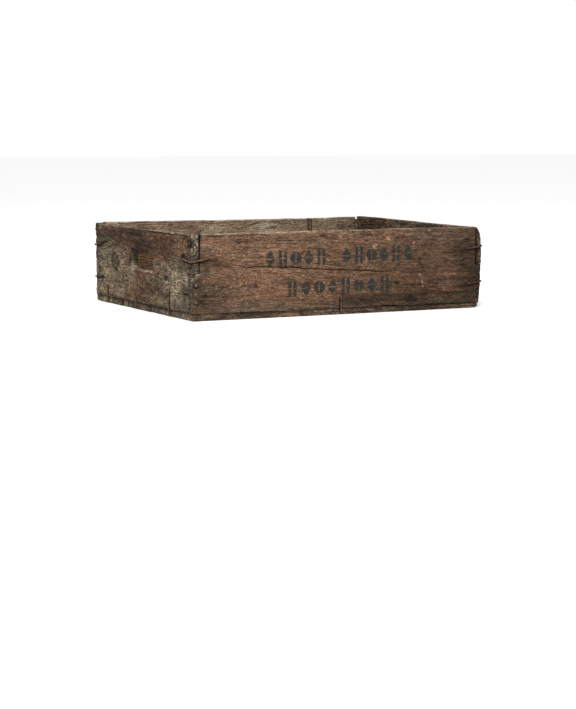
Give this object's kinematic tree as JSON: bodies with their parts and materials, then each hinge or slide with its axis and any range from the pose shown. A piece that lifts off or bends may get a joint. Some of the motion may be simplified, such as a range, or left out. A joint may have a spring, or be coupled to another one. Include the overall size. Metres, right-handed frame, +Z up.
{
  "type": "wooden fruit crate",
  "caption": "Shallow open wooden fruit crate with lapped, nailed and wire-stapled corners, hand holes in both ends and a lengthwise boarded bottom.",
  "frame": {"origin": "on the floor under the middle of the crate", "axes": "+X along the crate towards the right end, -Y towards the front side board, +Z up"},
  "size_m": [0.5858, 0.4808, 0.15],
  "materials": {
    "side_wood": "weathered raw softwood, reddish brown",
    "end_wood": "weathered raw softwood, grey brown",
    "bottom_wood": "weathered raw softwood, grey",
    "rusted_wire": "rusted steel wire",
    "rusted_nail": "rusted steel nails",
    "rusted_strap": "rusted flat steel strap"
  },
  "bodies": {
    "root": {"back_rim_strap": "rusted_strap", "back_side_board": "side_wood", "bottom_board_front": "bottom_wood", "bottom_board_middle": "bottom_wood", "bottom_board_rear": "bottom_wood", "bottom_nails_back": "rusted_nail", "bottom_nails_front": "rusted_nail", "bottom_nails_left": "rusted_nail", "bottom_nails_right": "rusted_nail", "bottom_staple_back": "rusted_wire", "bottom_staple_front": "rusted_wire", "bottom_staple_left_front": "rusted_wire", "bottom_staple_left_middle": "rusted_wire", "bottom_staple_left_rear": "rusted_wire", "bottom_staple_right_front": "rusted_wire", "bottom_staple_right_middle": "rusted_wire", "bottom_staple_right_rear": "rusted_wire", "corner_staple_back_left_lower": "rusted_wire", "corner_staple_back_left_upper": "rusted_wire", "corner_staple_back_right_lower": "rusted_wire", "corner_staple_back_right_upper": "rusted_wire", "corner_staple_front_left_upper": "rusted_wire", "corner_staple_front_right_lower": "rusted_wire", "corner_staple_front_right_upper": "rusted_wire", "end_tongue_nails_back_left": "rusted_nail", "end_tongue_nails_back_right": "rusted_nail", "end_tongue_nails_front_left": "rusted_nail", "end_tongue_nails_front_right": "rusted_nail", "front_side_board": "side_wood", "left_end_board": "end_wood", "right_end_board": "end_wood", "rim_strap_nail": "rusted_nail", "side_tongue_nails_back_left": "rusted_nail", "side_tongue_nails_back_right": "rusted_nail", "side_tongue_nails_front_left": "rusted_nail", "side_tongue_nails_front_right": "rusted_nail"}
  },
  "joints": []
}
